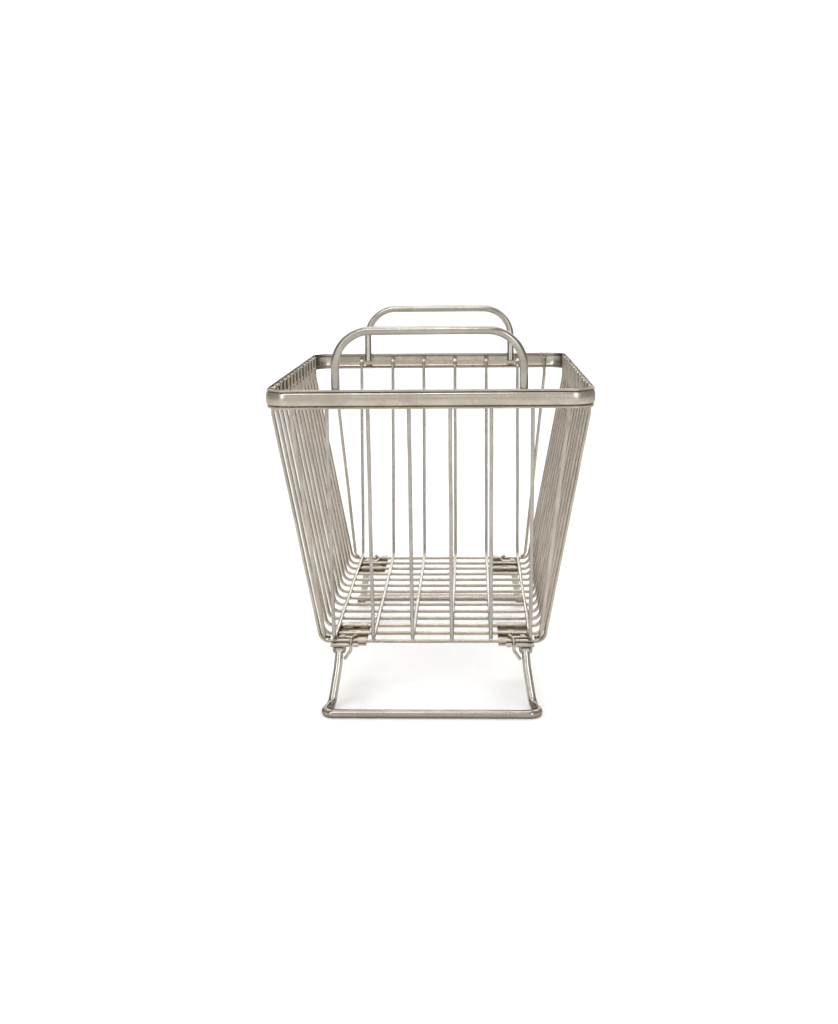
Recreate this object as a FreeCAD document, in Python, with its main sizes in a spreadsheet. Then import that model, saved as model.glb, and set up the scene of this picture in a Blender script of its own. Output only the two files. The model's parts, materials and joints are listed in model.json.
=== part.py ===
import FreeCAD, Part
import math
import os

import Sketcher
from FreeCAD import Placement, Rotation, Vector

# Wire shopping basket on two fold-away leg frames.
#
# Frame: X across the basket, Y along it, Z up. The origin is on the ground, under the middle.
# The basket hangs from a rolled rim band. Cross wires run down one long wall, under the floor
# and up the other wall. Length wires do the same from end to end and lie on the cross wires.
# A carrying handle stands on each end wall. Under each end of the floor a leg frame turns on
# two riveted hinges, whose brackets clip round the cross wires. A spring keeper bears on each leg.

DIMENSIONS = {
    # rim band: a rolled strip with a bead along its middle and two flared lips
    "rim_length": 430.0,
    "rim_width": 304.0,
    "rim_corner": 24.0,
    "rim_level": 300.0,
    "band_tall": 18.0,
    "band_sheet": 1.2,
    "bead_tall": 12.0,
    "bead_proud": 1.6,
    "lip_back": 0.7,
    # wires of the walls and floor
    "wire_dia": 3.7,
    "cross_span": 360.0,
    "cross_count": 14,
    "cross_top": 308.0,
    "cross_bend": 9.0,
    "length_span": 187.8,
    "length_count": 6,
    "length_top": 303.0,
    "length_bend": 5.0,
    "knee_level": 283.0,
    "knee_bend": 20.0,
    "floor_level": 63.2,
    "floor_width": 213.6,
    "floor_length": 369.0,
    # corner wires, one in each corner of the end walls
    "corner_top_reach": 126.2,
    "corner_foot_reach": 103.4,
    "corner_foot_level": 69.0,
    "corner_end_reach": 99.2,
    "corner_end_back": 177.0,
    "corner_end_level": 66.2,
    "corner_bend": 5.0,
    # carrying handles
    "handle_dia": 8.0,
    "handle_span": 171.0,
    "handle_rise": 53.4,
    "handle_tail": 9.3,
    "handle_bend": 33.0,
    "handle_lean": 7.0,
    "handle_back": 208.5,
    # leg frames
    "leg_dia": 8.0,
    "pivot_back": 180.0,
    "pivot_level": 55.2,
    "pivot_reach": 89.5,
    "shin_back": 184.4,
    "shin_level": 38.5,
    "shin_reach": 90.9,
    "heel_back": 194.0,
    "heel_reach": 96.5,
    "foot_back": 220.7,
    "foot_reach": 103.0,
    "shin_bend": 45.0,
    "heel_bend": 10.0,
    "foot_bend": 9.0,
    "eye_dia": 8.5,
    "eye_length": 8.0,
    "eye_bore": 4.16,
    # hinge brackets and their rivets
    "plate_sheet": 1.5,
    "plate_inner": 63.5,
    "plate_outer": 97.0,
    "plate_front": 185.2,
    "plate_rear": 106.0,
    "notch_inner": 76.2,
    "notch_outer": 80.2,
    "notch_back": 181.0,
    "hem_dia": 4.0,
    "hem_inner": 71.0,
    "hem_outer": 97.5,
    "clip_wall": 1.35,
    "clip_play": 0.1,
    "clip_length": 7.5,
    "clip_inset": 2.5,
    "outer_clip_length": 10.0,
    "grip_length": 4.5,
    "boss_reach": 79.0,
    "boss_back": 143.0,
    "boss_dia": 9.0,
    "boss_hole": 5.0,
    "boss_tall": 1.0,
    "ear_sheet": 1.0,
    "ear_inner": 84.8,
    "ear_outer": 94.6,
    "ear_radius": 4.0,
    "ear_bore": 4.1,
    "rivet_dia": 4.0,
    "rivet_head": 5.8,
    "rivet_head_tall": 1.1,
    "rivet_head_edge": 0.4,
    "rivet_head_taper": 0.8,
    # spring keepers
    "keeper_dia": 3.0,
    "keeper_back": 166.0,
    "keeper_start": 91.5,
    "keeper_elbow_reach": 72.5,
    "keeper_ramp_reach": 74.3,
    "keeper_ramp_back": 172.0,
    "keeper_reach": 78.2,
    "keeper_drop": 55.0,
    "keeper_tip_reach": 83.9,
    "keeper_tip_level": 46.8,
    "keeper_elbow_bend": 4.0,
    "keeper_ramp_bend": 4.0,
    "keeper_drop_bend": 3.0,
    "keeper_tip_bend": 5.0,
}

SIDES = {"left": -1, "right": 1}
ENDS = {"front": -1, "rear": 1}


class Size:
    """A size worked out from the sheet: its value now and the expression that drives it."""

    def __init__(self, value, text):
        self.value = value
        self.text = text

    def join(self, sign, other, value):
        return Size(value, f"({self.text} {sign} {as_size(other).text})")

    def __add__(self, other):
        return self.join("+", other, self.value + as_size(other).value)

    def __sub__(self, other):
        return self.join("-", other, self.value - as_size(other).value)

    def __mul__(self, other):
        return self.join("*", other, self.value * as_size(other).value)

    def __truediv__(self, other):
        return self.join("/", other, self.value / as_size(other).value)

    def __neg__(self):
        return self * -1


def as_size(number):
    return number if isinstance(number, Size) else Size(float(number), repr(float(number)))


def make_sheet(doc):
    sheet = doc.addObject("Spreadsheet::Sheet", "Dims")
    sizes = {}
    for row, (alias, value) in enumerate(DIMENSIONS.items(), start=1):
        sheet.set(f"A{row}", alias.replace("_", " "))
        sheet.set(f"B{row}", str(value))
        sheet.setAlias(f"B{row}", alias)
        sizes[alias] = Size(float(value), f"Dims.{alias}")
    return sizes


doc = FreeCAD.newDocument("ShoppingBasket")
d = make_sheet(doc)
doc.recompute()


def mm(alias):
    """A size read from the sheet, for shapes that are set in code."""
    return float(doc.Dims.get(alias))


# ---------------------------------------------------------------- sketches and bodies


def make_body(label):
    body = doc.addObject("PartDesign::Body", label)
    body.Label = label
    return body


def add_sketch(body, role, name, offset=None):
    """A sketch on one of the body's origin planes, moved along the plane's normal."""
    plane = next(f for f in body.Origin.OriginFeatures if f.Role == role)
    sketch = body.newObject("Sketcher::SketchObject", f"{body.Name}_{name}")
    sketch.AttachmentSupport = [(plane, "")]
    sketch.MapMode = "FlatFace"
    if offset is not None:
        sketch.AttachmentOffset = Placement(Vector(0, 0, offset.value), Rotation())
        sketch.setExpression("AttachmentOffset.Base.z", offset.text)
    return sketch


def bind(sketch, kind, places, size):
    index = sketch.addConstraint(Sketcher.Constraint(kind, *places, size.value))
    sketch.setExpression(f"Constraints[{index}]", size.text)


def pin_point(sketch, edge, end, x, y):
    """Hold one end of an edge at (x, y) from the sketch's origin."""
    bind(sketch, "DistanceX", (-1, 1, edge, end), x)
    bind(sketch, "DistanceY", (-1, 1, edge, end), y)


def flat(x, y):
    return Vector(x.value, y.value, 0)


def fillet_points(before, corner, after, bend):
    """Where a bend's arc begins, its middle and where it ends."""
    back = (before - corner).normalize()
    onward = (after - corner).normalize()
    half_turn = (math.pi - back.getAngle(onward)) / 2
    reach = bend * math.tan(half_turn)
    inward = (back + onward).normalize()
    middle = corner + inward * (bend / math.cos(half_turn) - bend)
    return corner + back * reach, middle, corner + onward * reach


def draw_bent_path(sketch, corners, bends):
    """Straight runs through the corners, joined by tangent arcs."""
    points = [flat(*corner) for corner in corners]
    runs = []
    start = points[0]
    for i, bend in enumerate(bends, start=1):
        enter, middle, leave = fillet_points(points[i - 1], points[i], points[i + 1], bend.value)
        runs.append(sketch.addGeometry(Part.LineSegment(start, enter), False))
        runs.append(sketch.addGeometry(Part.Arc(enter, middle, leave), False))
        start = leave
    runs.append(sketch.addGeometry(Part.LineSegment(start, points[-1]), False))
    pin_point(sketch, runs[0], 1, *corners[0])
    pin_point(sketch, runs[-1], 2, *corners[-1])
    for i, bend in enumerate(bends, start=1):
        line, arc, following = runs[2 * i - 2 : 2 * i + 1]
        arc_start = 1 if near(sketch, arc, 1, sketch.getPoint(line, 2)) else 2
        sketch.addConstraint(Sketcher.Constraint("Tangent", line, 2, arc, arc_start))
        sketch.addConstraint(Sketcher.Constraint("Tangent", arc, 3 - arc_start, following, 1))
        bind(sketch, "Radius", (arc,), bend)
        knot = sketch.addGeometry(Part.Point(points[i]), True)
        pin_point(sketch, knot, 1, *corners[i])
        sketch.addConstraint(Sketcher.Constraint("PointOnObject", knot, 1, line))
        sketch.addConstraint(Sketcher.Constraint("PointOnObject", knot, 1, following))


def near(sketch, edge, end, point):
    return sketch.getPoint(edge, end).distanceToPoint(point) < 1e-6


def draw_loop(sketch, corners, arcs=None):
    """A closed outline through pinned corners.

    arcs maps an edge's number to (rule, size, bulge point). The rule "Radius" gives the arc's
    radius. The rule "Level" gives its centre's height, for an arc that is exactly a half circle.
    """
    arcs = arcs or {}
    points = [flat(*corner) for corner in corners]
    edges = []
    for i, point in enumerate(points):
        following = points[(i + 1) % len(points)]
        if i in arcs:
            edges.append(sketch.addGeometry(Part.Arc(point, arcs[i][2], following), False))
        else:
            edges.append(sketch.addGeometry(Part.LineSegment(point, following), False))
    ends = []
    for i, edge in enumerate(edges):
        first = 1 if near(sketch, edge, 1, points[i]) else 2
        ends.append((first, 3 - first))
        pin_point(sketch, edge, first, *corners[i])
        if i in arcs and arcs[i][0] == "Radius":
            bind(sketch, "Radius", (edge,), arcs[i][1])
        elif i in arcs:
            bind(sketch, "DistanceY", (-1, 1, edge, 3), arcs[i][1])
    for i, edge in enumerate(edges):
        j = (i + 1) % len(edges)
        joint = (edge, ends[i][1], edges[j], ends[j][0])
        sketch.addConstraint(Sketcher.Constraint("Coincident", *joint))


def draw_circle(sketch, x, y, radius):
    circle = sketch.addGeometry(Part.Circle(flat(x, y), Vector(0, 0, 1), radius.value), False)
    pin_point(sketch, circle, 3, x, y)
    bind(sketch, "Radius", (circle,), radius)


def add_pad(body, sketch, length):
    """Material to both sides of the sketch's plane, length in all."""
    pad = body.newObject("PartDesign::Pad", f"{sketch.Name}_pad")
    pad.Profile = sketch
    pad.SideType = "Symmetric"
    pad.Length = length.value
    pad.setExpression("Length", length.text)
    sketch.Visibility = False
    return pad


def make_bent_rod(label, role, corners, bends, diameter):
    """A round rod that follows a flat path with tangent bends."""
    body = make_body(label)
    path = add_sketch(body, role, "path")
    draw_bent_path(path, corners, bends)
    doc.recompute()
    section = body.newObject("Sketcher::SketchObject", f"{label}_section")
    section.AttachmentSupport = [(path, "Edge1")]
    section.MapMode = "NormalToEdge"
    draw_circle(section, as_size(0), as_size(0), diameter / 2)
    pipe = body.newObject("PartDesign::AdditivePipe", f"{label}_rod")
    pipe.Profile = section
    pipe.Spine = (path, [])
    return body


# ---------------------------------------------------------------- rim band


def make_rim():
    """The band's section swept round a rectangle with rounded corners."""
    body = make_body("rim_band")
    half_width = d["rim_width"] / 2
    half_length = d["rim_length"] / 2
    straight_x = half_width - d["rim_corner"]
    straight_y = half_length - d["rim_corner"]
    path = add_sketch(body, "XY_Plane", "path", d["rim_level"])
    zero = as_size(0)
    corners = [
        (half_width, zero),
        (half_width, straight_y),
        (straight_x, half_length),
        (-straight_x, half_length),
        (-half_width, straight_y),
        (-half_width, -straight_y),
        (-straight_x, -half_length),
        (straight_x, -half_length),
        (half_width, -straight_y),
    ]
    arcs = {}
    for edge, sign_x, sign_y in ((1, 1, 1), (3, -1, 1), (5, -1, -1), (7, 1, -1)):
        slant = d["rim_corner"].value * math.sqrt(0.5)
        centre = Vector(sign_x * straight_x.value, sign_y * straight_y.value, 0)
        bulge = centre + Vector(sign_x * slant, sign_y * slant, 0)
        arcs[edge] = ("Radius", d["rim_corner"], bulge)
    draw_loop(path, corners, arcs)
    section = add_sketch(body, "XZ_Plane", "section")
    draw_band_section(section, half_width)
    pipe = body.newObject("PartDesign::AdditivePipe", "rim_band_strip")
    pipe.Profile = section
    pipe.Spine = (path, [])
    return body


def draw_band_section(section, crest):
    """Lip, groove, bead, groove, lip: the outside, then the same line one sheet further in."""
    groove = crest - d["bead_proud"]
    lip = crest - d["lip_back"]
    top = d["rim_level"] + d["band_tall"] / 2
    foot = d["rim_level"] - d["band_tall"] / 2
    bead_top = d["rim_level"] + d["bead_tall"] / 2
    bead_foot = d["rim_level"] - d["bead_tall"] / 2
    sheet = d["band_sheet"]
    corners = [
        (lip, foot),
        (groove, bead_foot),
        (groove, bead_top),
        (lip, top),
        (lip - sheet, top),
        (groove - sheet, bead_top),
        (groove - sheet, bead_foot),
        (lip - sheet, foot),
    ]
    half_chord = d["bead_tall"] / 2
    proud = d["bead_proud"]
    bead_radius = (half_chord * half_chord + proud * proud) / (proud * 2)
    outside = flat(crest, d["rim_level"])
    inside = flat(crest - sheet, d["rim_level"])
    arcs = {1: ("Radius", bead_radius, outside), 5: ("Radius", bead_radius, inside)}
    draw_loop(section, corners, arcs)


# ---------------------------------------------------------------- wires


def wall_wire(half_top, top, half_floor, floor, bend):
    """Corners of a wire that runs down a wall, under the floor and up the other wall."""
    knee = d["knee_level"]
    corners = [
        (-half_top, top),
        (-half_top, knee),
        (-half_floor, floor),
        (half_floor, floor),
        (half_top, knee),
        (half_top, top),
    ]
    return corners, [d["knee_bend"], bend, bend, d["knee_bend"]]


def band_seat(outside):
    """The centre line of a wire that stands against the inside of the band's grooves."""
    return outside / 2 - d["bead_proud"] - d["band_sheet"] - d["wire_dia"] / 2


def make_cross_wires():
    corners, bends = wall_wire(
        band_seat(d["rim_width"]),
        d["cross_top"],
        d["floor_width"] / 2,
        d["floor_level"],
        d["cross_bend"],
    )
    count = int(mm("cross_count"))
    pitch = d["cross_span"] / (d["cross_count"] - 1)
    for i in range(count):
        label = f"cross_wire_{i + 1:02d}"
        wire = make_bent_rod(label, "XZ_Plane", corners, bends, d["wire_dia"])
        wire.setExpression("Placement.Base.y", (pitch * i - d["cross_span"] / 2).text)


def make_length_wires():
    corners, bends = wall_wire(
        band_seat(d["rim_length"]),
        d["length_top"],
        d["floor_length"] / 2,
        d["floor_level"] + d["wire_dia"],
        d["length_bend"],
    )
    count = int(mm("length_count"))
    pitch = d["length_span"] / (d["length_count"] - 1)
    for i in range(count):
        label = f"length_wire_{i + 1}"
        wire = make_bent_rod(label, "YZ_Plane", corners, bends, d["wire_dia"])
        wire.setExpression("Placement.Base.x", (pitch * i - d["length_span"] / 2).text)


# ---------------------------------------------------------------- rods that bend in space


def rod_shape(points, bends, diameter):
    """A round rod along straight runs joined by tangent arcs, in three dimensions."""
    edges = []
    start = points[0]
    for i, bend in enumerate(bends, start=1):
        enter, middle, leave = fillet_points(points[i - 1], points[i], points[i + 1], bend)
        edges.append(Part.LineSegment(start, enter).toShape())
        edges.append(Part.Arc(enter, middle, leave).toShape())
        start = leave
    edges.append(Part.LineSegment(start, points[-1]).toShape())
    circle = Part.Circle(points[0], points[1] - points[0], diameter / 2).toShape()
    return Part.Wire(edges).makePipeShell([Part.Wire([circle])], True, False)


def add_feature(label, shape):
    feature = doc.addObject("Part::Feature", label)
    feature.Label = label
    feature.Shape = shape
    return feature


def mirrored(points, side, end):
    return [Vector(side * x, end * y, z) for x, y, z in points]


def make_corner_wires():
    """Each runs down its corner of an end wall, then turns in over the outermost cross wire."""
    seat = band_seat(d["rim_length"]).value
    floor_back = mm("floor_length") / 2
    floor_level = mm("floor_level") + mm("wire_dia")
    wall_slope = (seat - floor_back) / (mm("knee_level") - floor_level)
    foot_back = floor_back + wall_slope * (mm("corner_foot_level") - floor_level)
    points = [
        (mm("corner_top_reach"), seat, mm("length_top")),
        (mm("corner_top_reach"), seat, mm("knee_level")),
        (mm("corner_foot_reach"), foot_back, mm("corner_foot_level")),
        (mm("corner_end_reach"), mm("corner_end_back"), mm("corner_end_level")),
    ]
    bends = [mm("knee_bend"), mm("corner_bend")]
    for end_name, end in ENDS.items():
        for side_name, side in SIDES.items():
            shape = rod_shape(mirrored(points, side, end), bends, mm("wire_dia"))
            add_feature(f"corner_wire_{end_name}_{side_name}", shape)


def make_leg_frame(end_name, end):
    """One rod: down a leg, out along the toe, across the foot bar and back, with an eye at each top."""
    half = [
        (mm("pivot_reach"), mm("pivot_back"), mm("pivot_level")),
        (mm("shin_reach"), mm("shin_back"), mm("shin_level")),
        (mm("heel_reach"), mm("heel_back"), mm("leg_dia") / 2),
        (mm("foot_reach"), mm("foot_back"), mm("leg_dia") / 2),
    ]
    bends = [mm("shin_bend"), mm("heel_bend"), mm("foot_bend")]
    points = mirrored(half, -1, end) + mirrored(half, 1, end)[::-1]
    frame = rod_shape(points, bends + bends[::-1], mm("leg_dia"))
    for side in SIDES.values():
        middle = Vector(side * mm("pivot_reach"), end * mm("pivot_back"), mm("pivot_level"))
        frame = frame.fuse(cylinder_across(middle, mm("eye_dia"), mm("eye_length")))
        frame = frame.cut(cylinder_across(middle, mm("eye_bore"), mm("eye_length") * 2))
    add_feature(f"leg_frame_{end_name}", frame.removeSplitter())


def cylinder_across(middle, diameter, length):
    """A cylinder along X about its middle."""
    return Part.makeCylinder(diameter / 2, length, middle - Vector(length / 2, 0, 0), Vector(1, 0, 0))


def make_keeper(label, side, end):
    """Spring wire: an arm on the plate, over the outermost cross wire, down to a tip beside the leg."""
    radius = mm("keeper_dia") / 2
    wire_radius = mm("wire_dia") / 2
    arm_level = mm("floor_level") - wire_radius + radius
    over_level = mm("floor_level") + wire_radius + radius
    front = mm("pivot_back") + wire_radius + radius
    points = [
        (mm("keeper_start"), mm("keeper_back"), arm_level),
        (mm("keeper_elbow_reach"), mm("keeper_back"), arm_level),
        (mm("keeper_ramp_reach"), mm("keeper_ramp_back"), over_level),
        (mm("keeper_reach"), front, over_level),
        (mm("keeper_reach"), front, mm("keeper_drop")),
        (mm("keeper_tip_reach"), front, mm("keeper_tip_level")),
    ]
    points = mirrored(points, side, end)
    bends = [mm(f"keeper_{name}_bend") for name in ("elbow", "ramp", "drop", "tip")]
    spring = rod_shape(points, bends, mm("keeper_dia"))
    add_feature(label, spring.fuse(Part.makeSphere(radius, points[-1])).removeSplitter())


# ---------------------------------------------------------------- handles


def make_handle(end_name, end):
    """An upright U that leans out with the end wall. Its tails stand inside the band."""
    half_span = d["handle_span"] / 2
    corners = [
        (-half_span, -d["handle_tail"]),
        (-half_span, d["handle_rise"]),
        (half_span, d["handle_rise"]),
        (half_span, -d["handle_tail"]),
    ]
    bends = [d["handle_bend"]] * 2
    handle = make_bent_rod(f"handle_{end_name}", "XZ_Plane", corners, bends, d["handle_dia"])
    handle.Placement = Placement(Vector(), Rotation(Vector(1, 0, 0), -end * mm("handle_lean")))
    handle.setExpression("Placement.Base.y", (d["handle_back"] * end).text)
    handle.setExpression("Placement.Base.z", (d["rim_level"] + d["band_tall"] / 2).text)


# ---------------------------------------------------------------- brackets and rivets


def add_tube(body, name, y, z, inner, outer, x_from, x_to):
    """A tube along X, or a solid bar where inner is None, from x_from to x_to."""
    sketch = add_sketch(body, "YZ_Plane", name, (x_from + x_to) / 2)
    draw_circle(sketch, y, z, outer)
    if inner is not None:
        draw_circle(sketch, y, z, inner)
    return add_pad(body, sketch, abs_size(x_to - x_from))


def abs_size(size):
    return size if size.value >= 0 else -size


def make_bracket(label, side, end):
    """Sheet-metal plate under the floor, clipped round the cross wires, with two hinge ears."""
    body = make_body(label)
    under = d["floor_level"] - d["wire_dia"] / 2 - d["plate_sheet"]
    plate = add_sketch(body, "XY_Plane", "plate", under + d["plate_sheet"] / 2)
    outline = [
        ("plate_inner", "plate_front"),
        ("notch_inner", "plate_front"),
        ("notch_inner", "notch_back"),
        ("notch_outer", "notch_back"),
        ("notch_outer", "plate_front"),
        ("plate_outer", "plate_front"),
        ("plate_outer", "plate_rear"),
        ("plate_inner", "plate_rear"),
    ]
    draw_loop(plate, [(d[x] * side, d[y] * end) for x, y in outline])
    draw_circle(plate, d["boss_reach"] * side, d["boss_back"] * end, d["boss_hole"] / 2)
    add_pad(body, plate, d["plate_sheet"])

    boss_level = under + d["plate_sheet"] + d["boss_tall"] / 2
    boss = add_sketch(body, "XY_Plane", "boss", boss_level)
    draw_circle(boss, d["boss_reach"] * side, d["boss_back"] * end, d["boss_dia"] / 2)
    draw_circle(boss, d["boss_reach"] * side, d["boss_back"] * end, d["boss_hole"] / 2)
    add_pad(body, boss, d["boss_tall"])

    hem_level = under + d["plate_sheet"] / 2
    hem_y = d["plate_front"] * end
    hems = [("hem_a", "hem_inner", "notch_inner"), ("hem_b", "notch_outer", "hem_outer")]
    for name, x_from, x_to in hems:
        add_tube(body, name, hem_y, hem_level, None, d["hem_dia"] / 2, d[x_from] * side, d[x_to] * side)

    clip_inner = d["wire_dia"] / 2 + d["clip_play"]
    clip_outer = clip_inner + d["clip_wall"]
    pitch = d["cross_span"] / (d["cross_count"] - 1)
    outermost = d["cross_span"] / 2
    third = outermost - pitch * 2
    clips = [
        ("clip_a", outermost, d["plate_inner"], d["clip_length"]),
        ("clip_b", third, d["plate_inner"] + d["clip_inset"], d["clip_length"]),
        ("clip_c", third, d["notch_outer"], d["outer_clip_length"]),
    ]
    for name, y, start, length in clips:
        span = (start * side, (start + length) * side)
        add_tube(body, name, y * end, d["floor_level"], clip_inner, clip_outer, *span)

    spring = d["keeper_dia"] / 2
    spring_level = under + d["plate_sheet"] + spring
    span = (d["ear_inner"] * side, (d["ear_inner"] + d["grip_length"]) * side)
    grip_inner = spring + d["clip_play"]
    grip_outer = spring + d["clip_wall"]
    add_tube(body, "grip", d["keeper_back"] * end, spring_level, grip_inner, grip_outer, *span)

    for name in ("ear_inner", "ear_outer"):
        add_ear(body, name, d[name] * side, end, under)
    return body


def add_ear(body, name, x, end, under):
    """A lug that hangs from the plate round the hinge's centre line."""
    ear = add_sketch(body, "YZ_Plane", name, x)
    near_y = d["pivot_back"] * end - d["ear_radius"]
    far_y = d["pivot_back"] * end + d["ear_radius"]
    top = under + d["plate_sheet"] / 2
    level = d["pivot_level"]
    lowest = flat(d["pivot_back"] * end, level - d["ear_radius"])
    corners = [(near_y, top), (near_y, level), (far_y, level), (far_y, top)]
    draw_loop(ear, corners, {1: ("Level", level, lowest)})
    draw_circle(ear, d["pivot_back"] * end, level, d["ear_bore"] / 2)
    add_pad(body, ear, d["ear_sheet"])


def make_rivet(label, side, end):
    """The hinge pin: a shank through both ears with a head outside each."""
    body = make_body(label)
    profile = add_sketch(body, "XZ_Plane", "profile")
    shank = d["rivet_dia"] / 2
    head = d["rivet_head"] / 2
    rim = head - d["rivet_head_taper"]
    inside = d["ear_inner"] - d["ear_sheet"] / 2
    outside = d["ear_outer"] + d["ear_sheet"] / 2
    zero = as_size(0)
    corners = [
        (inside - d["rivet_head_tall"], zero),
        (inside - d["rivet_head_tall"], rim),
        (inside - d["rivet_head_edge"], head),
        (inside, head),
        (inside, shank),
        (outside, shank),
        (outside, head),
        (outside + d["rivet_head_edge"], head),
        (outside + d["rivet_head_tall"], rim),
        (outside + d["rivet_head_tall"], zero),
    ]
    draw_loop(profile, [(x * side, z) for x, z in corners])
    turned = body.newObject("PartDesign::Revolution", f"{label}_turned")
    turned.Profile = profile
    turned.ReferenceAxis = (profile, ["H_Axis"])
    turned.Angle = 360
    body.setExpression("Placement.Base.y", (d["pivot_back"] * end).text)
    body.setExpression("Placement.Base.z", d["pivot_level"].text)


# ---------------------------------------------------------------- assembly


def make_basket():
    make_rim()
    make_cross_wires()
    make_length_wires()
    make_corner_wires()
    for end_name, end in ENDS.items():
        make_handle(end_name, end)
        make_leg_frame(end_name, end)
        for side_name, side in SIDES.items():
            place = f"{end_name}_{side_name}"
            make_bracket(f"hinge_bracket_{place}", side, end)
            make_rivet(f"hinge_rivet_{place}", side, end)
            make_keeper(f"leg_keeper_{place}", side, end)


def check_document():
    for item in doc.Objects:
        if "Invalid" in item.State or "Error" in item.State:
            raise RuntimeError(f"{item.Label} failed: {item.State}")


def export_parts():
    os.makedirs("parts", exist_ok=True)
    for item in doc.Objects:
        if item.TypeId == "PartDesign::Body" or item.TypeId == "Part::Feature":
            shape = item.Shape
            if shape.isNull() or not shape.isValid() or not shape.Solids:
                raise RuntimeError(f"{item.Label} has no sound solid")
            shape.exportStep(f"parts/{item.Label}.step")
            box = shape.BoundBox
            print(f"{item.Label:30s} {len(shape.Solids)} solid {shape.Volume:10.1f} mm3", box)


make_basket()
doc.recompute()
check_document()
export_parts()
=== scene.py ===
import json
import math

import bmesh
import bpy
from mathutils import Matrix, Vector, noise


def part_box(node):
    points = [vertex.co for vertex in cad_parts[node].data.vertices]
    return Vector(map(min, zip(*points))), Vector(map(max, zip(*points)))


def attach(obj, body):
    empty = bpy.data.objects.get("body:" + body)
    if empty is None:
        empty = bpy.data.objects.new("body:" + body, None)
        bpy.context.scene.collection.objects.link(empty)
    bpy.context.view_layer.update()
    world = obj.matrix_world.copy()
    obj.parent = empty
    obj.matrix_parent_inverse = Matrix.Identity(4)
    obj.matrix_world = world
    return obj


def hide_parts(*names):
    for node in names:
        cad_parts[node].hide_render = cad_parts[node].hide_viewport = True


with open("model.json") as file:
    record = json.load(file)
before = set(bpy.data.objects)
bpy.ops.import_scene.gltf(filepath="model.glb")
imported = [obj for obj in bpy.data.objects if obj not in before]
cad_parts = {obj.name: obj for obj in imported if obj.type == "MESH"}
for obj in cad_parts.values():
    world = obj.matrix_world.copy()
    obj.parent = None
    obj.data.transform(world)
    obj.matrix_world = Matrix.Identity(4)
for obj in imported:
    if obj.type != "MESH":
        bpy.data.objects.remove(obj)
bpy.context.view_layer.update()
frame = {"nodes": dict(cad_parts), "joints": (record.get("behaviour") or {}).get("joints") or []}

# Looks for a satin nickel wire basket on two fold-away leg frames, in metres.
# The rods, wires and the rim band are swept again along the CAD's own lines with finer sections,
# slightly uneven as hand-welded wire is, and weld nuggets join them.

MM = 0.001
SCENE = bpy.context.scene
SIDES = {"left": -1, "right": 1}
ENDS = {"front": -1, "rear": 1}
BASKET = "basket"
NOISE_SEED = 1
ALONG_X, ALONG_Y = Vector((1, 0, 0)), Vector((0, 1, 0))

# lines of the wires that a node's box doesn't give: the knee is the bend under the band
KNEE_LEVEL = 283 * MM
KNEE_BEND = 20 * MM
FLOOR_HALF_WIDTH = 106.8 * MM
FLOOR_HALF_LENGTH = 184.5 * MM
CROSS_BEND = 9 * MM
LENGTH_BEND = 5 * MM
CORNER_TOP_LEVEL = 303 * MM
CORNER_TOP_REACH = 126.2 * MM
CORNER_FOOT = (103.4 * MM, FLOOR_HALF_LENGTH + 0.4 * MM, 69.0 * MM)
CORNER_END = (99.2 * MM, 177 * MM, 66.2 * MM)

# rim band: its middle, its corners, and how its bead stands out between two grooves
RIM_LEVEL = 300 * MM
RIM_CORNER = 24 * MM
SHEET = 1.2 * MM
BEAD_DEPTH = 1.6 * MM
BEAD_HALF = 6.1 * MM
LIP_BACK = 0.7 * MM

# handles: bent rods that lean outwards, their tails welded behind the band
HANDLE_RADIUS = 4 * MM
HANDLE_BEND = 33 * MM
HANDLE_LEAN = math.radians(7)
HANDLE_TAIL = 9.3 * MM

# leg frames: from an eye on the pivot down the shin to the heel and out to the foot bar
LEG_RADIUS = 4 * MM
EYE_REACH = 89.5 * MM
SHIN_REACH, SHIN_BACK, SHIN_LEVEL = 90.9 * MM, 184.4 * MM, 38.5 * MM
HEEL_REACH, HEEL_BACK = 96.5 * MM, 194 * MM
FOOT_REACH, FOOT_BACK = 103 * MM, 220.7 * MM
LEG_BENDS = (45 * MM, 10 * MM, 9 * MM)
EYE_RADIUS, EYE_BORE, EYE_HALF_LENGTH = 4.25 * MM, 2.08 * MM, 4 * MM

# keepers: along the plate between two cross wires, over the outermost one, down to a hooked tip
KEEPER_RADIUS = 1.5 * MM
KEEPER_BACK, KEEPER_START, KEEPER_ELBOW = 166 * MM, 91.5 * MM, 72.5 * MM
KEEPER_RAMP_REACH, KEEPER_RAMP_BACK = 74.3 * MM, 172 * MM
KEEPER_REACH, KEEPER_DROP = 78.2 * MM, 55 * MM
KEEPER_TIP_REACH, KEEPER_TIP_LEVEL = 83.9 * MM, 46.8 * MM
KEEPER_BENDS = (4 * MM, 4 * MM, 3 * MM, 5 * MM)

# rivets
RIVET_HEAD_TALL = 1.1 * MM
RIVET_RADIUS = 2 * MM

# how far wires and handles stray from a straight line
CROSS_STRAY, LENGTH_STRAY, HANDLE_STRAY = 0.35 * MM, 0.4 * MM, 0.2 * MM

# meshes: how many sides a section has, a rod's turn from one section to the next in a bend, and
# the angles that stay sharp in shading
WIRE_SIDES, ROD_SIDES, RIVET_SIDES, EYE_SIDES = 18, 28, 24, 32
ROD_TURN = math.radians(6)
SHARP_ANGLE = math.radians(38)
PLATE_SHARP_ANGLE = math.radians(22)

# materials: display colours, and the edge tint and grain that a shader or a noise is given
# dirt specks, the band's grooves darkened by dirt and painted shade, and painted shade inside its
# long sides
DIRT_SPOT, GROOVE_DIRT_AND_SHADE, PAINTED_INSIDE_SHADE = (96, 84, 70), (74, 68, 58), (84, 76, 64)
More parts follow.
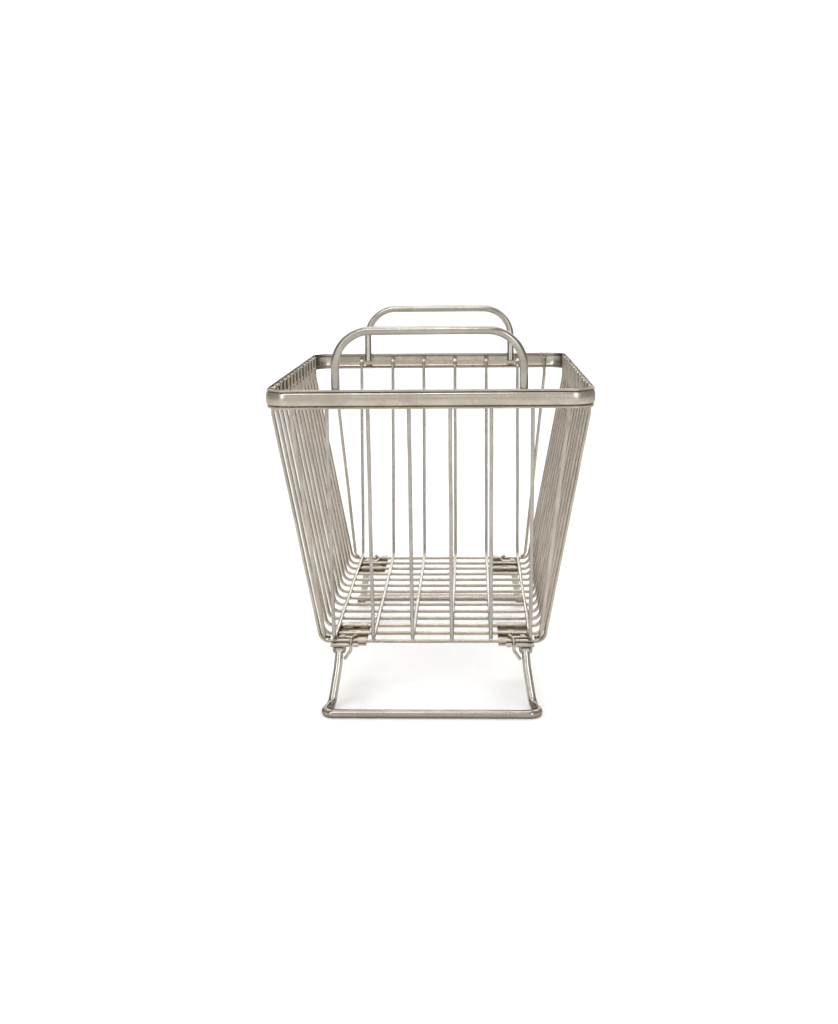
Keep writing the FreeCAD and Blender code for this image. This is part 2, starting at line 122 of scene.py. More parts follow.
# duller metal: wear on the leg feet and painted shade on the floor's cross wires; then the painted
# inside shade's edge tint
WORN_AND_SHADED_METAL = (144, 134, 123)
SHADE_EDGE = (0.12, 0.11, 0.1, 1.0)
ROD_GRAIN = (700, 700, 700)


# ---------------------------------------------------------------- lines


def bent_path(corners, bends, spacing=9 * MM, turn_step=math.radians(9)):
    """Points along straight runs joined by tangent arcs."""
    points = [corners[0]]
    for i, bend in enumerate(bends, start=1):
        corner = corners[i]
        back = (corners[i - 1] - corner).normalized()
        onward = (corners[i + 1] - corner).normalized()
        half_turn = (math.pi - back.angle(onward)) / 2
        reach = bend * math.tan(half_turn)
        centre = corner + (back + onward).normalized() * (bend / math.cos(half_turn))
        enter, leave = corner + back * reach, corner + onward * reach
        add_run(points, enter, spacing)
        axis = (enter - centre).cross(leave - centre).normalized()
        steps = max(2, round(2 * half_turn / turn_step))
        for k in range(1, steps + 1):
            turn = Matrix.Rotation(2 * half_turn * k / steps, 3, axis)
            points.append(centre + turn @ (enter - centre))
    add_run(points, corners[-1], spacing)
    return points


def add_run(points, end, spacing):
    """Goes straight on from the last point to the end, in even steps."""
    start = points[-1]
    steps = max(1, math.ceil((end - start).length / spacing))
    points.extend(start.lerp(end, k / steps) for k in range(1, steps + 1))


def wander(points, amount, seed, wave=70 * MM):
    """The points, each moved a little by a slow noise, as bent wire is never quite straight."""
    moved = []
    for point in points:
        push = noise.noise_vector(point / wave + Vector((seed * 7.3, seed * 3.1, seed * 5.7)))
        moved.append(point + push * amount)
    return moved


# ---------------------------------------------------------------- meshes


def end_rings(kind, radius):
    """(distance past the end, ring radius) of the rings that close a rod."""
    if kind == "round":
        quarter = [math.radians(a) for a in (0, 25, 50, 72)]
        return [(radius * math.sin(a), radius * math.cos(a)) for a in quarter]
    chamfer = radius * 0.14
    return [(-chamfer, radius), (0, radius - chamfer)]


def add_tube(bm, points, radius, sides=WIRE_SIDES, ends="cut"):
    """A closed round rod along the points. Its section is carried along without twist."""
    directions = []
    for i in range(len(points)):
        ahead = points[min(i + 1, len(points) - 1)]
        behind = points[max(i - 1, 0)]
        directions.append((ahead - behind).normalized())
    across = directions[0].orthogonal().normalized()
    stations = []
    for i, point in enumerate(points):
        if i:
            across = directions[i - 1].rotation_difference(directions[i]) @ across
        stations.append((point, directions[i], across.copy(), radius))
    first, last = stations[0], stations[-1]
    head = [(first[0] - first[1] * d, first[1], first[2], r) for d, r in end_rings(ends, radius)]
    tail = [(last[0] + last[1] * d, last[1], last[2], r) for d, r in end_rings(ends, radius)]
    rings = [add_ring(bm, *s, sides) for s in head[::-1] + stations[1:-1] + tail]
    for near_ring, far_ring in zip(rings, rings[1:]):
        bridge(bm, near_ring, far_ring)
    bm.faces.new(rings[0][::-1])
    bm.faces.new(rings[-1])


def add_ring(bm, point, direction, across, radius, sides):
    """A ring of new corners round a point, square to the direction."""
    up = direction.cross(across)
    ring = []
    for k in range(sides):
        a = 2 * math.pi * k / sides
        ring.append(bm.verts.new(point + (across * math.cos(a) + up * math.sin(a)) * radius))
    return ring


def bridge(bm, ring, following):
    """Faces between two rings of as many corners."""
    count = len(ring)
    for k in range(count):
        j = (k + 1) % count
        bm.faces.new((ring[k], ring[j], following[j], following[k]))


def add_turned(bm, middle, profile, sides, solid):
    """A turned shape about X. Its profile, of (along, radius), is an open line when it is solid
    from end to end, and a closed loop when it is bored through."""
    rings = []
    for along, radius in profile:
        rings.append(add_ring(bm, middle + ALONG_X * along, ALONG_X, ALONG_Y, radius, sides))
    following = rings[1:] if solid else rings[1:] + rings[:1]
    for near_ring, far_ring in zip(rings, following):
        bridge(bm, near_ring, far_ring)
    if solid:
        bm.faces.new(rings[0][::-1])
        bm.faces.new(rings[-1])


def add_nugget(bm, centre, size, seed):
    """A lump of weld metal: a squashed ball with an uneven skin."""
    lumps_a_metre, unevenness = 900, 0.16
    place = Matrix.Translation(centre) @ Matrix.Diagonal((*size, 1))
    made = bmesh.ops.create_icosphere(bm, subdivisions=2, radius=1, matrix=place)
    for vert in made["verts"]:
        offset = vert.co - centre
        lump = noise.noise(offset * lumps_a_metre + Vector((seed * 1.7, seed * 2.3, seed)))
        vert.co = centre + offset * (1 + unevenness * lump)


def add_piece(name, bm, material, body, replaced=(), sharp=SHARP_ANGLE):
    """Makes the shown piece, which rides on a body and stands for the CAD nodes it replaces."""
    bmesh.ops.recalc_face_normals(bm, faces=bm.faces)
    mesh = bpy.data.meshes.new(name)
    bm.to_mesh(mesh)
    bm.free()
    mesh.polygons.foreach_set("use_smooth", [True] * len(mesh.polygons))
    mesh.set_sharp_from_angle(angle=sharp)
    mesh.materials.append(material)
    piece = bpy.data.objects.new(name, mesh)
    SCENE.collection.objects.link(piece)
    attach(piece, body)
    if replaced:
        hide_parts(*replaced)
    return piece


# ---------------------------------------------------------------- materials


class Nodes:
    """Short calls for building one material's nodes."""

    def __init__(self, name):
        self.material = bpy.data.materials.new(name)
        self.material.use_nodes = True
        self.tree = self.material.node_tree
        self.shader = self.tree.nodes["Principled BSDF"]
        where = self.add("ShaderNodeTexCoord")
        self.place, self.facing = where.outputs["Object"], where.outputs["Normal"]

    def add(self, kind, **inputs):
        node = self.tree.nodes.new(kind)
        for key, value in inputs.items():
            self.put(node.inputs[key.replace("_", " ")], value)
        return node

    def put(self, socket, value):
        if isinstance(value, bpy.types.NodeSocket):
            self.tree.links.new(value, socket)
        else:
            socket.default_value = value

    def stretched(self, scale):
        node = self.add("ShaderNodeMapping", Vector=self.place, Scale=scale)
        return node.outputs["Vector"]

    def noise(self, scale, detail, rough=0.55, vector=None):
        where = self.place if vector is None else vector
        node = self.add("ShaderNodeTexNoise", Vector=where, Scale=scale, Detail=detail)
        self.put(node.inputs["Roughness"], rough)
        return node.outputs["Fac"]

    def ranged(self, value, low, high, to_low=0.0, to_high=1.0):
        node = self.add("ShaderNodeMapRange", Value=value)
        self.put(node.inputs["From Min"], low)
        self.put(node.inputs["From Max"], high)
        self.put(node.inputs["To Min"], to_low)
        self.put(node.inputs["To Max"], to_high)
        return node.outputs["Result"]

    def math(self, operation, a, b):
        node = self.tree.nodes.new("ShaderNodeMath")
        node.operation = operation
        self.put(node.inputs[0], a)
        self.put(node.inputs[1], b)
        return node.outputs[0]

    def mix(self, factor, a, b):
        node = self.tree.nodes.new("ShaderNodeMix")
        node.data_type = "RGBA"
        self.put(node.inputs[0], factor)
        self.put(node.inputs[6], a)
        self.put(node.inputs[7], b)
        return node.outputs[2]


def colour(red, green, blue):
    """A display colour, of 0 to 255 a channel, as linear RGBA."""
    return (*((c / 255) ** 2.2 for c in (red, green, blue)), 1.0)


def worn_and_shaded(n, tint, roughness, level):
    """Colour and roughness of plating made duller, in level streaks, below a level: worn dull on
    the leg feet, and painted shade on the cross wires of the basket's floor.
    """
    worn_level, wear, roughening = level * 0.7, 0.7, 0.12
    height = n.add("ShaderNodeSeparateXYZ", Vector=n.place).outputs["Z"]
    low = n.ranged(height, worn_level, level, wear, 0.0)
    streaks = n.noise(1.0, 3.0, 0.5, n.stretched((50, 30, 300)))
    wear_and_shade = n.math("MULTIPLY", low, n.ranged(streaks, 0.35, 0.65, 0.9, 1.0))
    rougher = n.math("MULTIPLY", wear_and_shade, roughening)
    return n.mix(wear_and_shade, tint, colour(*WORN_AND_SHADED_METAL)), n.math("ADD", roughness, rougher)


def shaded_and_grimed(n, tint, edge_tint, clouds):
    """Colour and edge tint of the rim band: dirt and painted shade along its two grooves, and painted
    shade, with a darker edge tint, on the inside faces of its long sides, where X and the way that
    the face looks have opposite signs."""
    groove, reach, darkest, shaded = BEAD_HALF + 0.5 * MM, 0.9 * MM, 0.42, 0.75
    place = n.add("ShaderNodeSeparateXYZ", Vector=n.place)
    facing = n.add("ShaderNodeSeparateXYZ", Vector=n.facing)
    # dirt and painted shade along the two grooves
    from_middle = n.math("ABSOLUTE", n.math("SUBTRACT", place.outputs["Z"], RIM_LEVEL), 0.0)
    off_groove = n.math("ABSOLUTE", n.math("SUBTRACT", from_middle, groove), 0.0)
    nearness = n.ranged(off_groove, 0.0, reach, darkest, 0.0)
    groove_dirt_and_shade = n.math("MULTIPLY", nearness, n.ranged(clouds, 0.0, 1.0, 1.0, 0.6))
    tint = n.mix(groove_dirt_and_shade, tint, colour(*GROOVE_DIRT_AND_SHADE))
    # painted shade on the inside faces of the long sides, in colour and in edge tint
    outwards = n.math("MULTIPLY", place.outputs["X"], facing.outputs["X"])
    inside = n.ranged(outwards, -0.12, -0.05, shaded, 0.0)
    return n.mix(inside, tint, colour(*PAINTED_INSIDE_SHADE)), n.mix(inside, edge_tint, SHADE_EDGE)


def make_steel(name, bright, dull, rough, edge, grain=ROD_GRAIN, specks=0.1, wear_and_shade=0, band_shade_and_grime=False):
    """Satin plated steel: cloudy colour, drawing lines, a fine bump and specks of dirt.

    It is darker and duller below the level given: wear on the leg feet, painted shade on the floor's
    cross wires. The rim band gets dirt and painted shade in its grooves and painted shade inside its
    long sides. Edge is how much of its shine a surface seen at a slant keeps. A noise's scale and
    grain are in lumps a metre.
    """
    n = Nodes(name)
    clouds = n.ranged(n.noise(38, 5.0, 0.6), 0.32, 0.68)
    lines = n.noise(1.0, 3.0, 0.6, n.stretched(grain))
    fine = n.noise(1400, 2.0)
    tint = n.mix(clouds, colour(*dull), colour(*bright))
    shade = n.ranged(lines, 0.3, 0.7, 0.0, 0.12)
    tint = n.mix(shade, tint, colour(*(c * 0.8 for c in dull)))
    spots = n.ranged(n.noise(420, 2.0, 0.5), 0.66, 0.74, 0.0, specks)
    tint = n.mix(spots, tint, colour(*DIRT_SPOT))
    roughness = n.ranged(n.math("ADD", clouds, lines), 0.3, 1.5, rough + 0.09, rough - 0.05)
    edge_tint = (edge, edge * 0.97, edge * 0.92, 1.0)
    # below a level: wear on the leg feet, painted shade on the floor's cross wires
    if wear_and_shade:
        tint, roughness = worn_and_shaded(n, tint, roughness, wear_and_shade)
    # the rim band: dirt and painted shade in its grooves, painted shade inside its long sides
    if band_shade_and_grime:
        tint, edge_tint = shaded_and_grimed(n, tint, edge_tint, clouds)
    height = n.math("ADD", n.math("MULTIPLY", lines, 0.7), n.math("MULTIPLY", fine, 0.3))
    bump = n.add("ShaderNodeBump", Strength=0.12, Distance=0.03 * MM, Height=height)
    n.put(n.shader.inputs["Base Color"], tint)
    n.put(n.shader.inputs["Roughness"], roughness)
    n.put(n.shader.inputs["Normal"], bump.outputs["Normal"])
    n.put(n.shader.inputs["Specular Tint"], edge_tint)
    n.shader.inputs["Metallic"].default_value = 1.0
    return n.material


def make_materials():
    """Every steel: its bright and dull colours, roughness and edge, then what only some have."""
    steels = {
        "rim_band_steel": ((186, 178, 165), (166, 158, 145), 0.26, 0.6),
        "length_wire_steel": ((176, 170, 163), (156, 150, 143), 0.26, 0.66),
        "cross_wire_steel": ((184, 175, 162), (158, 150, 138), 0.21, 0.75),
        "handle_steel": ((172, 168, 159), (153, 148, 139), 0.2, 0.42),
        "leg_steel": ((190, 185, 177), (172, 167, 159), 0.16, 0.22),
        "bracket_steel": ((184, 176, 164), (154, 146, 135), 0.32, 0.5),
        "rivet_steel": ((170, 162, 150), (144, 136, 125), 0.32, 0.5),
        "spring_steel": ((190, 183, 173), (162, 155, 145), 0.22, 0.4),
        # painted light: the welds are far brighter than the other steels, so nuggets in the band's
        # shade still read bright
        "weld_steel_painted_light": ((240, 234, 224), (214, 206, 194), 0.26, 0.9),
    }
    extras = {
        # the rim band gets dirt and painted shade in its grooves and painted shade inside its long
        # sides
        "rim_band_steel": {"grain": (30, 30, 2600), "specks": 0.12, "band_shade_and_grime": True},
        # painted shade: the cross wires are darker and duller where they run along the floor
        "cross_wire_steel": {"wear_and_shade": 75 * MM},
        # the feet of the leg frames are worn dull where they meet the ground
        "leg_steel": {"specks": 0.04, "wear_and_shade": 13 * MM},
        "bracket_steel": {"grain": (60, 900, 60), "specks": 0.3},
    }
    return {name: make_steel(name, *look, **extras.get(name, {})) for name, look in steels.items()}


# ---------------------------------------------------------------- rim band


def rim_section(top):
    """The band's section, a closed loop of (out from the bead's crest, height from mid-band).

    A half-oval bead between two grooves, with a flat lip above and below.
    """
    lip, edge, groove = -LIP_BACK, 0.35 * MM, -BEAD_DEPTH - 0.4 * MM
    lower_lip, upper_lip = 1.6 * MM, 2.1 * MM
    steps, fullness, thickness = 14, 0.8, 0.75 * SHEET
    outside = [(lip - 0.3 * MM, -top), (lip, -top + edge), (lip, -top + lower_lip)]
    outside.append((groove, -BEAD_HALF - edge))
    for k in range(steps + 1):
        a = math.pi * (k / steps - 0.5)
        outside.append((-BEAD_DEPTH * (1 - math.cos(a) ** fullness), BEAD_HALF * math.sin(a)))
    outside.append((groove, BEAD_HALF + edge))
    outside += [(lip, top - upper_lip), (lip, top - edge), (lip - 0.3 * MM, top)]
    inside = [(out - thickness, z * 0.999) for out, z in outside[::-1]]
    return outside + inside


def rim_stations(half_width, half_length):
    """(point, outward direction) round a rectangle with rounded corners, along the bead's crest."""
    stations = []
    corner_steps, run_steps = 14, 16
    for quadrant in range(4):
        start = math.pi / 2 * quadrant
        sign_x = 1 if quadrant in (0, 3) else -1
        sign_y = 1 if quadrant in (0, 1) else -1
        centre_x, centre_y = half_width - RIM_CORNER, half_length - RIM_CORNER
        centre = Vector((sign_x * centre_x, sign_y * centre_y, 0))
        for k in range(corner_steps + 1):
            a = start + math.pi / 2 * k / corner_steps
            out = Vector((math.cos(a), math.sin(a), 0))
            stations.append((centre + out * RIM_CORNER, out))
        run = 2 * (half_length if quadrant in (1, 3) else half_width) - 2 * RIM_CORNER
        onward = Vector((-out.y, out.x, 0))
        point = stations[-1][0]
        stations.extend((point + onward * run * j / run_steps, out) for j in range(1, run_steps))
    return stations


def make_rim(materials):
    low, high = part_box("rim_band")
    level = (low.z + high.z) / 2
    section = rim_section((high.z - low.z) / 2)
    deepest, dent_wave = 0.25 * MM, 55 * MM
    highest, sway_wave, sway_seed = 0.15 * MM, 80 * MM, Vector((5, 1, 2))
    room_to_sway = 0.985
    bm = bmesh.new()
    rings = []
    for point, out in rim_stations(high.x, high.y):
        dent = deepest * (0.5 + 0.5 * noise.noise(point / dent_wave))
        sway = highest * noise.noise(point / sway_wave + sway_seed)
        ring = []
        for proud, z in section:
            place = point + out * (proud - dent)
            ring.append(bm.verts.new((place.x, place.y, level + z * room_to_sway + sway)))
        rings.append(ring)
    for ring, following in zip(rings, rings[1:] + rings[:1]):
        bridge(bm, ring, following)
    steel = materials["rim_band_steel"]
    add_piece("rim_band_rolled", bm, steel, BASKET, ["rim_band"])


# ---------------------------------------------------------------- wires


def nodes_named(start):
    """The CAD nodes whose names begin like this, in order."""
    return sorted(node for node in frame["nodes"] if node.startswith(start))


def wall_line(half_top, top, half_floor, floor, bend):
    """A wire's path in the XZ plane: down one wall, along the floor and up the other wall."""
    half = [(half_top, top), (half_top, KNEE_LEVEL), (half_floor, floor)]
    corners = [Vector((-x, 0, z)) for x, z in half] + [Vector((x, 0, z)) for x, z in half[::-1]]
    return bent_path(corners, [KNEE_BEND, bend, bend, KNEE_BEND])


def make_cross_wires(materials):
    for node in nodes_named("cross_wire"):
        low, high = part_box(node)
        radius = (high.y - low.y) / 2
        middle = (high.y + low.y) / 2
        line = wall_line(high.x - radius, high.z, FLOOR_HALF_WIDTH, low.z + radius, CROSS_BEND)
        line = [point + Vector((0, middle, 0)) for point in line]
        bm = bmesh.new()
        add_tube(bm, wander(line, CROSS_STRAY, middle * 100), radius)
        add_piece(f"{node}_drawn", bm, materials["cross_wire_steel"], BASKET, [node])


def make_length_wires(materials):
    for node in nodes_named("length_wire"):
        low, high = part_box(node)
        radius = (high.x - low.x) / 2
        middle = (high.x + low.x) / 2
        line = wall_line(high.y - radius, high.z, FLOOR_HALF_LENGTH, low.z + radius, LENGTH_BEND)
        line = [Vector((middle, point.x, point.z)) for point in line]
        bm = bmesh.new()
        add_tube(bm, wander(line, LENGTH_STRAY, middle * 100), radius)
        add_piece(f"{node}_drawn", bm, materials["length_wire_steel"], BASKET, [node])


def make_corner_wires(materials):
    low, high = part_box("length_wire_1")
    radius = (high.x - low.x) / 2
    seat = high.y - radius
    half = [
        (CORNER_TOP_REACH, seat, CORNER_TOP_LEVEL),
        (CORNER_TOP_REACH, seat, KNEE_LEVEL),
        CORNER_FOOT,
        CORNER_END,
    ]
    for end_name, end in ENDS.items():
        for side_name, side in SIDES.items():
            node = f"corner_wire_{end_name}_{side_name}"
            corners = [Vector((side * x, end * y, z)) for x, y, z in half]
            bm = bmesh.new()
            line = bent_path(corners, [KNEE_BEND, LENGTH_BEND])
            add_tube(bm, wander(line, CROSS_STRAY, side + 2 * end), radius)
            steel = materials["cross_wire_steel"]
            add_piece(f"{node}_drawn", bm, steel, BASKET, [node])


# ---------------------------------------------------------------- handles and legs


def make_handle(materials, end_name, end):
    node = f"handle_{end_name}"
    low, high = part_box(node)
    rim_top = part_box("rim_band")[1].z
    half_span = high.x - HANDLE_RADIUS
    rise = (high.z - HANDLE_RADIUS - rim_top) / math.cos(HANDLE_LEAN)
    outermost = max(abs(low.y), abs(high.y))
    foot_y = end * (outermost - HANDLE_RADIUS - rise * math.sin(HANDLE_LEAN))
    lean = Matrix.Rotation(-end * HANDLE_LEAN, 3, "X")
    tail = -HANDLE_TAIL
    flat = [(-half_span, tail), (-half_span, rise), (half_span, rise), (half_span, tail)]
    base = Vector((0, foot_y, rim_top))
    corners = [base + lean @ Vector((x, 0, z)) for x, z in flat]
    bm = bmesh.new()
    line = bent_path(corners, [HANDLE_BEND] * 2, turn_step=ROD_TURN)
    line = wander(line, HANDLE_STRAY, end * 3, wave=120 * MM)
    room_to_stray = 0.15 * MM
    add_tube(bm, line, HANDLE_RADIUS - room_to_stray, ROD_SIDES)
    add_piece(f"{node}_bent", bm, materials["handle_steel"], BASKET, [node])


def make_leg_frame(materials, end_name, end):
    node = f"leg_frame_{end_name}"
    pivot = leg_pivot(end_name)
    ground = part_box(node)[0].z + LEG_RADIUS
    half = [
        (EYE_REACH, pivot.y, pivot.z),
        (SHIN_REACH, end * SHIN_BACK, SHIN_LEVEL),
        (HEEL_REACH, end * HEEL_BACK, ground),
        (FOOT_REACH, end * FOOT_BACK, ground),
    ]
    corners = [Vector((-x, y, z)) for x, y, z in half] + [Vector(place) for place in half[::-1]]
    bm = bmesh.new()
    line = bent_path(corners, LEG_BENDS + LEG_BENDS[::-1], turn_step=ROD_TURN)
    off_the_ground, chamfer = 0.05 * MM, 0.5 * MM
    add_tube(bm, line, LEG_RADIUS - off_the_ground, ROD_SIDES)
    half_eye = [
        (EYE_HALF_LENGTH, EYE_BORE),
        (EYE_HALF_LENGTH, EYE_RADIUS - chamfer),
        (EYE_HALF_LENGTH - chamfer, EYE_RADIUS),
    ]
    eye = [(-along, radius) for along, radius in half_eye] + half_eye[::-1]
    for side in SIDES.values():
        middle = Vector((side * EYE_REACH, pivot.y, pivot.z))
        add_turned(bm, middle, eye, EYE_SIDES, solid=False)
    add_piece(f"{node}_bent", bm, materials["leg_steel"], f"leg_{end_name}", [node])


def leg_pivot(end_name):
    """A point on the line that a leg frame turns about."""
    joint = next(j for j in frame["joints"] if j["child"] == f"leg_{end_name}")
    return Vector(joint["pos_m"])


# ---------------------------------------------------------------- brackets, rivets and keepers


def make_bracket(materials, node):
    """The pressed plate with its cut edges broken."""
    bm = bmesh.new()
    bm.from_mesh(frame["nodes"][node].data)
    same_place, flat_angle, cut_angle = 0.001 * MM, math.radians(0.5), math.radians(50)
    bmesh.ops.remove_doubles(bm, verts=bm.verts, dist=same_place)
    bmesh.ops.dissolve_limit(bm, angle_limit=flat_angle, verts=bm.verts, edges=bm.edges)
    joined = [e for e in bm.edges if len(e.link_faces) == 2]
    cut = [e for e in joined if e.calc_face_angle() > cut_angle]
    breaking = {"offset": 0.22 * MM, "segments": 2, "profile": 0.5, "clamp_overlap": True}
    bmesh.ops.bevel(bm, geom=cut, affect="EDGES", **breaking)
    name, steel = f"{node}_pressed", materials["bracket_steel"]
    add_piece(name, bm, steel, BASKET, [node], PLATE_SHARP_ANGLE)


def make_rivet(materials, node):
    """A shank with a domed head at each end."""
    low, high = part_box(node)
    head_radius = (high.z - low.z) / 2
    under_head = (high.x - low.x) / 2 - RIVET_HEAD_TALL
    steps, flat_top = 5, 0.25 * MM
    half = [(under_head, RIVET_RADIUS)]
    for k in range(steps + 1):
        a = math.pi / 2 * k / steps
        radius = max(head_radius * math.cos(a), flat_top)
        half.append((under_head + RIVET_HEAD_TALL * math.sin(a), radius))
    profile = [(-along, radius) for along, radius in half[::-1]] + half
    bm = bmesh.new()
    add_turned(bm, (low + high) / 2, profile, RIVET_SIDES, solid=True)
    add_piece(f"{node}_headed", bm, materials["rivet_steel"], BASKET, [node])


def make_keeper(materials, end_name, end, side_name, side):
    node = f"leg_keeper_{end_name}_{side_name}"
    low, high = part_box("cross_wire_01")
    wire_dia = high.y - low.y
    beside_wires = low.z + KEEPER_RADIUS
    over_wire = beside_wires + wire_dia
    past_wire = leg_pivot("rear").y + wire_dia / 2 + KEEPER_RADIUS
    route = [
        (KEEPER_START, KEEPER_BACK, beside_wires),
        (KEEPER_ELBOW, KEEPER_BACK, beside_wires),
        (KEEPER_RAMP_REACH, KEEPER_RAMP_BACK, over_wire),
        (KEEPER_REACH, past_wire, over_wire),
        (KEEPER_REACH, past_wire, KEEPER_DROP),
        (KEEPER_TIP_REACH, past_wire, KEEPER_TIP_LEVEL),
    ]
    corners = [Vector((side * x, end * y, z)) for x, y, z in route]
    bm = bmesh.new()
    add_tube(bm, bent_path(corners, KEEPER_BENDS, 3 * MM), KEEPER_RADIUS, ends="round")
    add_piece(f"{node}_bent", bm, materials["spring_steel"], BASKET, [node])


# ---------------------------------------------------------------- welds


def make_floor_welds(materials):
    """A nugget where each length wire lies on a cross wire, and at each corner wire's foot."""
    bm = bmesh.new()
    crossing, foot = Vector((1.7, 1.7, 1.0)) * MM, Vector((2.0, 2.0, 1.9)) * MM
    foot_reach, foot_back, foot_level = 101 * MM, 180.4 * MM, 65.8 * MM
    middles = [sum(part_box(node), Vector()) / 2 for node in nodes_named("cross_wire")]
    for i, node in enumerate(nodes_named("length_wire")):
        low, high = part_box(node)
        for j, middle in enumerate(middles):
            centre = Vector(((low.x + high.x) / 2, middle.y, low.z))
            add_nugget(bm, centre, crossing, i * 17 + j)
    for end in ENDS.values():
        for side in SIDES.values():
            centre = Vector((side * foot_reach, end * foot_back, foot_level))
            add_nugget(bm, centre, foot, side * 3 + end)
    add_piece("floor_weld_nuggets", bm, materials["weld_steel_painted_light"], BASKET)


def make_rim_welds(materials):
    """Nuggets between the wire tops and the inside of the band, low and high on each wire."""
    bm = bmesh.new()
    small, large = Vector((1.9, 1.9, 2.0)) * MM, Vector((2.8, 2.2, 2.5)) * MM
    band_low, band_high = (corner.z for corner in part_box("rim_band"))
    for node in nodes_named("cross_wire"):
        low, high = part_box(node)
        for side in SIDES.values():
            for level in (band_low + 3.2 * MM, band_high - 3.4 * MM):
                centre = Vector((side * (high.x - 0.6 * MM), (low.y + high.y) / 2, level))
                add_nugget(bm, centre, small, low.y * 900 + side + level)
    for node in nodes_named("length_wire"):
        low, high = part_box(node)
        wire_radius = (high.x - low.x) / 2
        for end in ENDS.values():
            for level, size in ((band_low + 3 * MM, small), (high.z - 2.2 * MM, large)):
                centre = Vector((low.x + wire_radius, end * (high.y - wire_radius), level))
                add_nugget(bm, centre, size, low.x * 900 + end + level)
    behind_band = 211 * MM
    for end in ENDS.values():
        for side in SIDES.values():
            for level in (band_low + 3.2 * MM, band_high - 7 * MM):
                centre = Vector((side * CORNER_TOP_REACH, end * behind_band, level))
                add_nugget(bm, centre, small, side * 5 + end + level)
    add_piece("rim_weld_nuggets", bm, materials["weld_steel_painted_light"], BASKET)


def make_handle_welds(materials):
    """A run of four weld beads up each side of a handle's tails, against the band."""
    bm = bmesh.new()
    size = Vector((1.7, 1.6, 1.6)) * MM
    lowest, rise, back, lean = 300.5 * MM, 2 * MM, 210.6 * MM, 0.2 * MM
    for end_name, end in ENDS.items():
        half_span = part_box(f"handle_{end_name}")[1].x - HANDLE_RADIUS
        for side in SIDES.values():
            for k in range(4):
                for shift in (-2.6, 2.6):
                    across = side * half_span + shift * MM
                    centre = Vector((across, end * (back + lean * k), lowest + rise * k))
                    add_nugget(bm, centre, size, k + shift + side * 9 + end * 4)
    add_piece("handle_weld_runs", bm, materials["weld_steel_painted_light"], BASKET)


# ---------------------------------------------------------------- studio


def make_backdrop():
    """A pale floor that sweeps up into a wall, too far behind to catch the object's shadow."""
    n = Nodes("studio_paper")
    pale = n.mix(n.noise(3.0, 3.0), colour(250, 250, 249), colour(253, 253, 252))
    n.put(n.shader.inputs["Base Color"], pale)
    n.shader.inputs["Roughness"].default_value = 0.9
    n.shader.inputs["Specular IOR Level"].default_value = 0.1
    bm = bmesh.new()
    half, wall_y, bend, top, steps = 9.0, 7.0, 2.5, 9.0, 12
    outline = [(-half, 0.0), (0.0, 0.0), (wall_y - bend, 0.0)]
    for k in range(1, steps + 1):
        a = math.pi / 2 * k / steps
        outline.append((wall_y - bend + bend * math.sin(a), bend * (1 - math.cos(a))))
    outline.append((wall_y, top))
    rows = [[bm.verts.new((x, y, z)) for x in (-half, half)] for y, z in outline]
    for row, following in zip(rows, rows[1:]):
        bm.faces.new((row[0], row[1], following[1], following[0]))
    mesh = bpy.data.meshes.new("studio_floor")
    bm.to_mesh(mesh)
    bm.free()
    mesh.polygons.foreach_set("use_smooth", [True] * len(mesh.polygons))
    mesh.materials.append(n.material)
    floor = bpy.data.objects.new("studio_floor", mesh)
    SCENE.collection.objects.link(floor)


def add_softbox(name, place, target, size, power, spread=180):
    """An area lamp of a size in metres and a power in watts, turned to face its target."""
    light = bpy.data.lights.new(name, "AREA")
    light.shape = "RECTANGLE"
    light.size, light.size_y = size
    light.energy = power
    light.spread = math.radians(spread)
    lamp = bpy.data.objects.new(name, light)
    lamp.location = place
    lamp.rotation_euler = (Vector(target) - Vector(place)).to_track_quat("-Z", "Y").to_euler()
    SCENE.collection.objects.link(lamp)


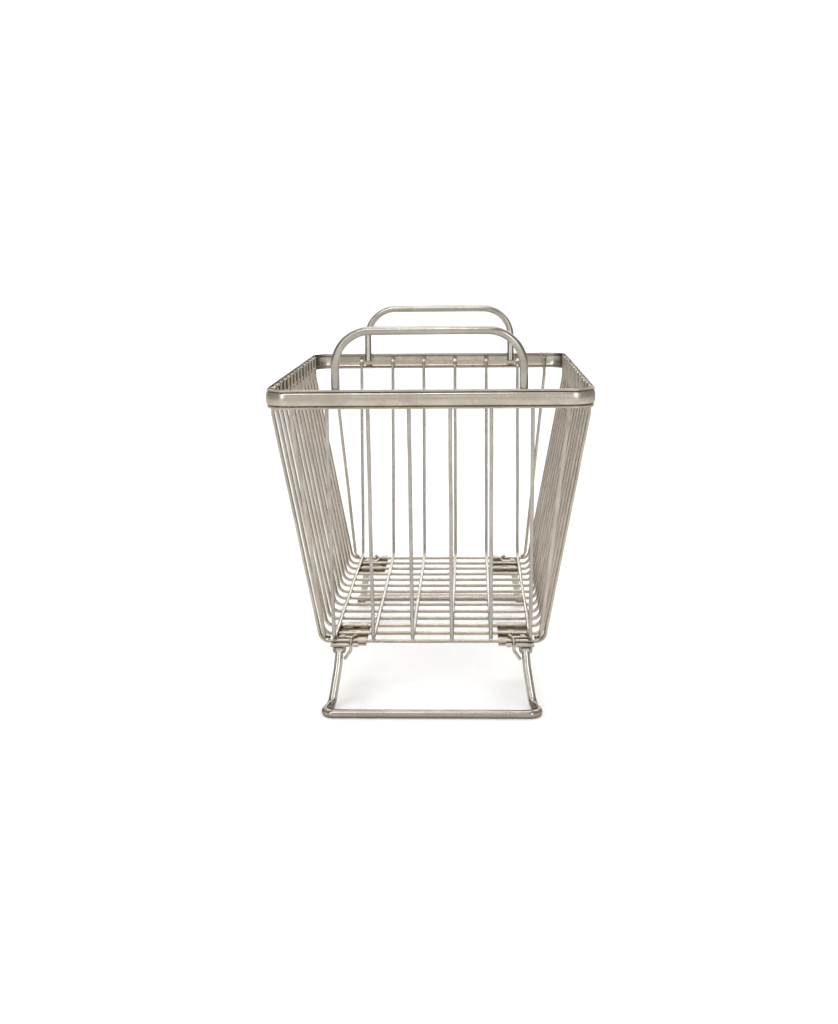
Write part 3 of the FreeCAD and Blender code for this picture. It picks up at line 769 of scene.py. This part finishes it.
def make_lights():
    """Wide soft light on the basket from all round, and two lamps on the floor and wall behind it."""
    middle = (0, 0, 0.18)
    add_softbox("softbox_top", (0.0, -0.1, 2.3), middle, (1.2, 1.2), 12)
    add_softbox("softbox_key", (-0.5, -1.9, 2.1), middle, (1.5, 0.8), 17)
    add_softbox("softbox_low", (0.2, -3.4, 0.8), middle, (3.2, 1.0), 8)
    for side in SIDES.values():
        add_softbox("softbox_back", (side * 1.3, 0.9, 1.9), middle, (1.2, 1.2), 6)
    add_softbox("softbox_front_left", (-1.9, -2.6, 1.2), middle, (0.6, 2.0), 17)
    add_softbox("softbox_front_right", (1.5, -2.8, 1.2), middle, (0.6, 2.0), 18)
    add_softbox("softbox_far_floor", (0.0, 3.0, 4.0), (0.0, 3.6, 0.0), (4.5, 2.0), 85)
    add_softbox("softbox_wall", (0.0, 3.4, 4.4), (0.0, 7.0, 2.5), (8.0, 1.0), 270, 50)
    world = bpy.data.worlds.new("studio_air")
    world.use_nodes = True
    background = world.node_tree.nodes["Background"]
    background.inputs["Color"].default_value = (1.0, 1.0, 1.0, 1.0)
    background.inputs["Strength"].default_value = 0.46
    SCENE.world = world


def make_camera():
    """Eye level a little above the basket's front end, looking along it."""
    yaw, pitch, roll = (math.radians(a) for a in (2.154, 10.868, -0.539))
    ahead, down = math.cos(pitch), math.sin(pitch)
    forward = Vector((-math.sin(yaw) * ahead, math.cos(yaw) * ahead, -down))
    level = Vector((math.cos(yaw), math.sin(yaw), 0))
    upright = level.cross(forward)
    right = level * math.cos(roll) + upright * math.sin(roll)
    up = upright * math.cos(roll) - level * math.sin(roll)
    camera = bpy.data.cameras.new("camera")
    camera.lens = 48.8
    camera.sensor_width = 36.0
    holder = bpy.data.objects.new("camera", camera)
    turn = Matrix((right, up, -forward)).transposed().to_4x4()
    eye = (36.85 * MM, -1466.6 * MM, 436.7 * MM)
    holder.matrix_world = Matrix.Translation(eye) @ turn
    SCENE.collection.objects.link(holder)
    SCENE.camera = holder


# ---------------------------------------------------------------- build


def build():
    materials = make_materials()
    make_rim(materials)
    make_cross_wires(materials)
    make_length_wires(materials)
    make_corner_wires(materials)
    for end_name, end in ENDS.items():
        make_handle(materials, end_name, end)
        make_leg_frame(materials, end_name, end)
        for side_name, side in SIDES.items():
            make_bracket(materials, f"hinge_bracket_{end_name}_{side_name}")
            make_rivet(materials, f"hinge_rivet_{end_name}_{side_name}")
            make_keeper(materials, end_name, end, side_name, side)
    make_floor_welds(materials)
    make_rim_welds(materials)
    make_handle_welds(materials)
    make_backdrop()
    make_lights()
    make_camera()


noise.seed_set(NOISE_SEED)
SCENE.view_settings.view_transform = "Standard"
build()
